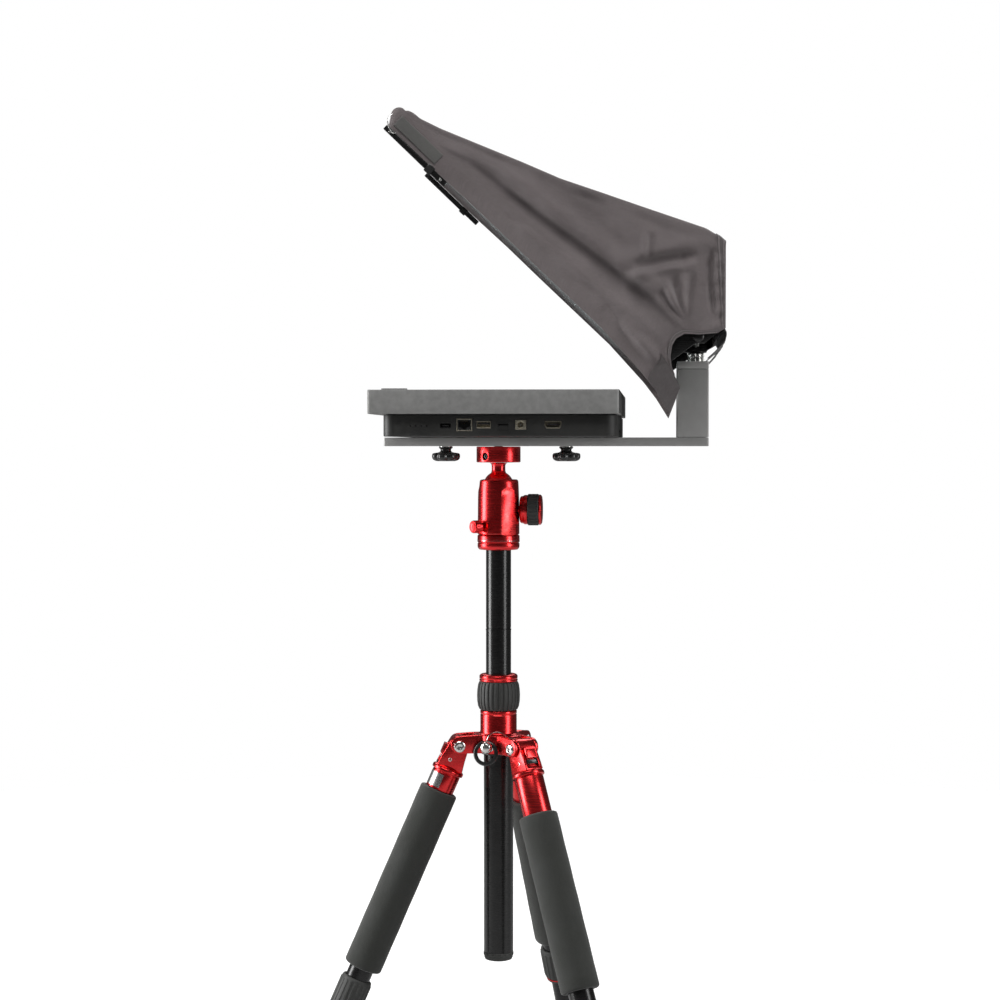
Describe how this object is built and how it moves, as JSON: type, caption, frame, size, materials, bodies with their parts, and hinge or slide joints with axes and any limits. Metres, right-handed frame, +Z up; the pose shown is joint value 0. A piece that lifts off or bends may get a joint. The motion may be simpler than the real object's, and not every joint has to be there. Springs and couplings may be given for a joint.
{
  "type": "teleprompter",
  "caption": "Teleprompter: flat monitor under a 45 degree glass with a fabric hood, on a base plate, ball head and three-legged travel tripod with a sliding column.",
  "frame": {"origin": "bottom centre of the bounding box, at floor level under the tripod", "axes": "+Z up the column; +X from the reader towards the camera; +Y to the far side of the monitor"},
  "size_m": [0.4684, 0.4116, 1.0587],
  "materials": {
    "grey_paint": "satin grey paint",
    "bezel_plastic": "fine-textured grey plastic",
    "dark_plastic": "fine-textured black plastic",
    "red_anodised": "glossy red anodised",
    "foam": "matte closed-cell foam",
    "rubber": "matte ribbed rubber",
    "steel": "turned and polished",
    "glass": "partly mirrored, clear",
    "fabric": "brown-grey coated nylon",
    "screen": "matte black display face",
    "board": "green solder mask",
    "black_metal": "black anodised"
  },
  "bodies": {
    "base": {"crown": "red_anodised", "hook_knob": "steel", "leg_left_pin": "steel", "leg_front_pin": "steel", "leg_rear_pin": "steel", "column_lower": "black_metal"},
    "leg_left": {"leg_left_bracket": "red_anodised", "leg_left_tube": "black_metal", "leg_left_grip": "foam"},
    "leg_left_lock": {"leg_left_lock": "rubber"},
    "leg_left_section": {"leg_left_extension": "black_metal", "leg_left_foot": "rubber"},
    "leg_front": {"leg_front_bracket": "red_anodised", "leg_front_tube": "black_metal", "leg_front_grip": "foam"},
    "leg_front_lock": {"leg_front_lock": "rubber"},
    "leg_front_section": {"leg_front_extension": "black_metal", "leg_front_foot": "rubber"},
    "leg_rear": {"leg_rear_bracket": "red_anodised", "leg_rear_tube": "black_metal", "leg_rear_grip": "foam"},
    "leg_rear_lock": {"leg_rear_lock": "rubber"},
    "leg_rear_section": {"leg_rear_extension": "black_metal", "leg_rear_foot": "rubber"},
    "column_lock": {"column_lock": "rubber"},
    "column": {"column_upper": "black_metal", "pan_base": "red_anodised"},
    "head": {"head_body": "red_anodised"},
    "lock_knob": {"lock_knob": "red_anodised", "lock_knob_grip": "rubber"},
    "pan_knob": {"pan_knob": "red_anodised"},
    "ball": {"ball": "red_anodised"},
    "prompter": {"stem": "red_anodised", "platform": "red_anodised", "base_plate": "grey_paint", "monitor_case": "dark_plastic", "main_board": "board", "port_ethernet": "steel", "port_usb": "steel", "port_dc": "dark_plastic", "port_hdmi": "steel", "monitor_bezel": "bezel_plastic", "lcd_panel": "screen", "upright": "grey_paint", "upright_cap": "grey_paint", "post": "black_metal", "tilt_block": "black_metal"},
    "thumb_knob_left": {"thumb_knob_left": "dark_plastic"},
    "thumb_knob_right": {"thumb_knob_right": "dark_plastic"},
    "nut": {"knurled_nut": "steel"},
    "glass_hood": {"glass_frame": "black_metal", "glass": "glass", "clamp_near": "black_metal", "clamp_far": "black_metal", "pivot_rod": "steel", "arm_near": "black_metal", "arm_far": "black_metal", "hood_rod": "black_metal", "hood": "fabric", "rear_panel": "dark_plastic"}
  },
  "joints": [
    {"name": "column_slide", "type": "slide", "parent": "base", "child": "column", "axis": [0, 0, 1], "range_m": [-0.13, 0.09]},
    {"name": "column_lock_turn", "type": "hinge", "parent": "base", "child": "column_lock", "pos_m": [-0.00575, -0.01152, 0.43234], "axis": [0, 0, 1], "continuous": true},
    {"name": "pan", "type": "hinge", "parent": "column", "child": "head", "pos_m": [-0.00575, -0.01152, 0.62294], "axis": [0, 0, 1], "continuous": true},
    {"name": "lock_knob_turn", "type": "hinge", "parent": "head", "child": "lock_knob", "pos_m": [0.01685, -0.01152, 0.64994], "axis": [1, 0, 0], "continuous": true},
    {"name": "pan_knob_turn", "type": "hinge", "parent": "head", "child": "pan_knob", "pos_m": [-0.02228, -0.02693, 0.63194], "axis": [-0.7314, -0.682, 0], "continuous": true},
    {"name": "ball_roll", "type": "hinge", "parent": "head", "child": "ball", "pos_m": [-0.00575, -0.01152, 0.67524], "axis": [1, 0, 0], "range_deg": [-24, 24]},
    {"name": "ball_pitch", "type": "hinge", "parent": "ball", "child": "prompter", "pos_m": [-0.00575, -0.01152, 0.67524], "axis": [0, 1, 0], "range_deg": [-24, 24]},
    {"name": "thumb_turn_left", "type": "hinge", "parent": "prompter", "child": "thumb_knob_left", "pos_m": [-0.06325, -0.01152, 0.71844], "axis": [0, 0, 1], "continuous": true},
    {"name": "thumb_turn_right", "type": "hinge", "parent": "prompter", "child": "thumb_knob_right", "pos_m": [0.06775, -0.01152, 0.71844], "axis": [0, 0, 1], "continuous": true},
    {"name": "nut_turn", "type": "hinge", "parent": "prompter", "child": "nut", "pos_m": [0.20725, -0.01152, 0.80824], "axis": [0, 0, 1], "continuous": true},
    {"name": "hood_tilt", "type": "hinge", "parent": "prompter", "child": "glass_hood", "pos_m": [0.20725, -0.01152, 0.82784], "axis": [0, 1, 0], "range_deg": [-10, 10]},
    {"name": "leg_left_fold", "type": "hinge", "parent": "base", "child": "leg_left", "pos_m": [-0.04869, -0.01847, 0.39404], "axis": [0.1599, -0.9871, 0], "range_deg": [0, 23.6]},
    {"name": "leg_left_lock_turn", "type": "hinge", "parent": "leg_left", "child": "leg_left_lock", "pos_m": [-0.15737, -0.03607, 0.14204], "axis": [-0.3952, -0.064, -0.9164], "continuous": true},
    {"name": "leg_left_slide", "type": "slide", "parent": "leg_left", "child": "leg_left_section", "axis": [-0.3952, -0.064, -0.9164], "range_m": [0, 0.2]},
    {"name": "leg_front_fold", "type": "hinge", "parent": "base", "child": "leg_front", "pos_m": [0.02174, -0.04523, 0.39404], "axis": [0.7749, 0.632, 0], "range_deg": [0, 23.6]},
    {"name": "leg_front_lock_turn", "type": "hinge", "parent": "leg_front", "child": "leg_front_lock", "pos_m": [0.09133, -0.13054, 0.14204], "axis": [0.253, -0.3102, -0.9164], "continuous": true},
    {"name": "leg_front_slide", "type": "slide", "parent": "leg_front", "child": "leg_front_section", "axis": [0.253, -0.3102, -0.9164], "range_m": [0, 0.2]},
    {"name": "leg_rear_fold", "type": "hinge", "parent": "base", "child": "leg_rear", "pos_m": [0.0097, 0.02915, 0.39404], "axis": [-0.9348, 0.3551, 0], "range_deg": [0, 23.6]},
    {"name": "leg_rear_lock_turn", "type": "hinge", "parent": "leg_rear", "child": "leg_rear_lock", "pos_m": [0.04879, 0.13207, 0.14204], "axis": [0.1422, 0.3743, -0.9164], "continuous": true},
    {"name": "leg_rear_slide", "type": "slide", "parent": "leg_rear", "child": "leg_rear_section", "axis": [0.1422, 0.3743, -0.9164], "range_m": [0, 0.2]}
  ]
}
